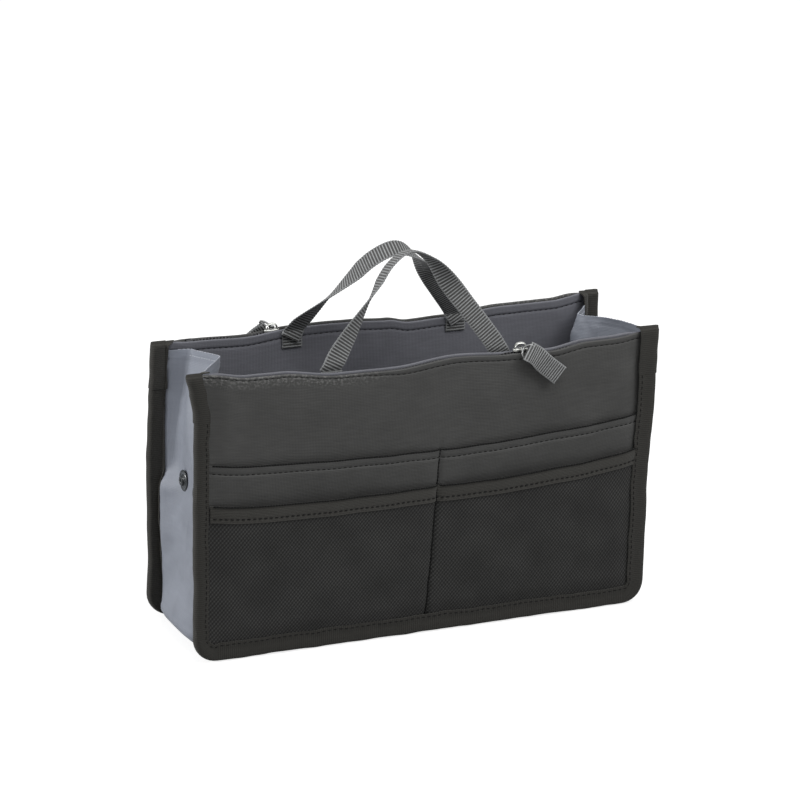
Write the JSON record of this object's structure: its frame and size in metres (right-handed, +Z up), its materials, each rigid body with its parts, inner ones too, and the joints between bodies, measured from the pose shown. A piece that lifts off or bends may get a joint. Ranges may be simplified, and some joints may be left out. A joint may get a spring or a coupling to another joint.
{
  "type": "toiletry organiser bag",
  "caption": "Open-topped rectangular cloth organiser bag with zipped walls, mesh and slip pockets outside, an inward-folding side gusset with press studs, and webbing handles.",
  "frame": {"origin": "on the floor, under the middle of the base", "axes": "+X along the long walls, -Y out of the front wall, +Z up"},
  "size_m": [0.28, 0.0856, 0.2259],
  "materials": {
    "charcoal_nylon": "matte",
    "lining_nylon": "matte",
    "black_mesh": "matte",
    "black_binding": "matte",
    "gusset_nylon": "satin",
    "grey_webbing": "matte",
    "zip_tape": "matte",
    "silver_metal": "satin",
    "black_stud": "satin"
  },
  "bodies": {
    "gusset": {"gusset_strip": "gusset_nylon", "left_snap_stud": "black_stud", "left_snap_stud_cap": "black_stud", "left_snap_socket": "black_stud", "left_snap_socket_cap": "black_stud", "right_snap_stud": "black_stud", "right_snap_stud_cap": "black_stud", "right_snap_socket": "black_stud", "right_snap_socket_cap": "black_stud"},
    "front_wall": {"front_outer_panel": "charcoal_nylon", "front_inner_panel": "lining_nylon", "front_slip_pocket": "charcoal_nylon", "front_mesh_pocket": "black_mesh", "front_mesh_hem": "black_binding", "front_binding": "black_binding", "front_zip_tape_outer": "zip_tape", "front_zip_tape_inner": "zip_tape", "front_zip_stop_left": "silver_metal", "front_zip_stop_right": "silver_metal", "front_handle_end_left": "grey_webbing", "front_handle_end_right": "grey_webbing"},
    "front_handle": {"front_handle": "grey_webbing"},
    "front_zip_slider": {"front_zip_slider": "silver_metal"},
    "front_zip_pull": {"front_zip_pull_link": "silver_metal", "front_zip_pull_tab": "grey_webbing"},
    "back_wall": {"back_outer_panel": "charcoal_nylon", "back_inner_panel": "lining_nylon", "back_slip_pocket": "charcoal_nylon", "back_mesh_pocket": "black_mesh", "back_mesh_hem": "black_binding", "back_binding": "black_binding", "back_zip_tape_outer": "zip_tape", "back_zip_tape_inner": "zip_tape", "back_zip_stop_left": "silver_metal", "back_zip_stop_right": "silver_metal", "back_handle_end_left": "grey_webbing", "back_handle_end_right": "grey_webbing"},
    "back_handle": {"back_handle": "grey_webbing"},
    "back_zip_slider": {"back_zip_slider": "silver_metal"},
    "back_zip_pull": {"back_zip_pull_link": "silver_metal", "back_zip_pull_tab": "grey_webbing"}
  },
  "joints": [
    {"name": "front_wall_tilt", "type": "hinge", "parent": "gusset", "child": "front_wall", "pos_m": [0, -0.0339, 0.0094], "axis": [-1, 0, 0], "range_deg": [-3, 3], "deforming": ["gusset_strip"]},
    {"name": "front_handle_swing", "type": "hinge", "parent": "front_wall", "child": "front_handle", "pos_m": [-0.006, -0.03115, 0.1653], "axis": [1, 0, 0], "range_deg": [-10, 100]},
    {"name": "front_zip_slide", "type": "slide", "parent": "front_wall", "child": "front_zip_slider", "axis": [1, 0, 0], "range_m": [-0.1655, 0.0535]},
    {"name": "front_pull_swing", "type": "hinge", "parent": "front_zip_slider", "child": "front_zip_pull", "pos_m": [0.056, -0.03525, 0.1673], "axis": [0, -1, 0], "range_deg": [-49, 199]},
    {"name": "back_wall_tilt", "type": "hinge", "parent": "gusset", "child": "back_wall", "pos_m": [0, 0.0339, 0.0094], "axis": [1, 0, 0], "range_deg": [-3, 3], "deforming": ["gusset_strip"]},
    {"name": "back_handle_swing", "type": "hinge", "parent": "back_wall", "child": "back_handle", "pos_m": [-0.006, 0.03115, 0.1679], "axis": [-1, 0, 0], "range_deg": [-10, 118]},
    {"name": "back_zip_slide", "type": "slide", "parent": "back_wall", "child": "back_zip_slider", "axis": [-1, 0, 0], "range_m": [-0.1775, 0.0415]},
    {"name": "back_pull_swing", "type": "hinge", "parent": "back_zip_slider", "child": "back_zip_pull", "pos_m": [-0.068, 0.03525, 0.1699], "axis": [0, 1, 0], "range_deg": [-49, 199]}
  ]
}
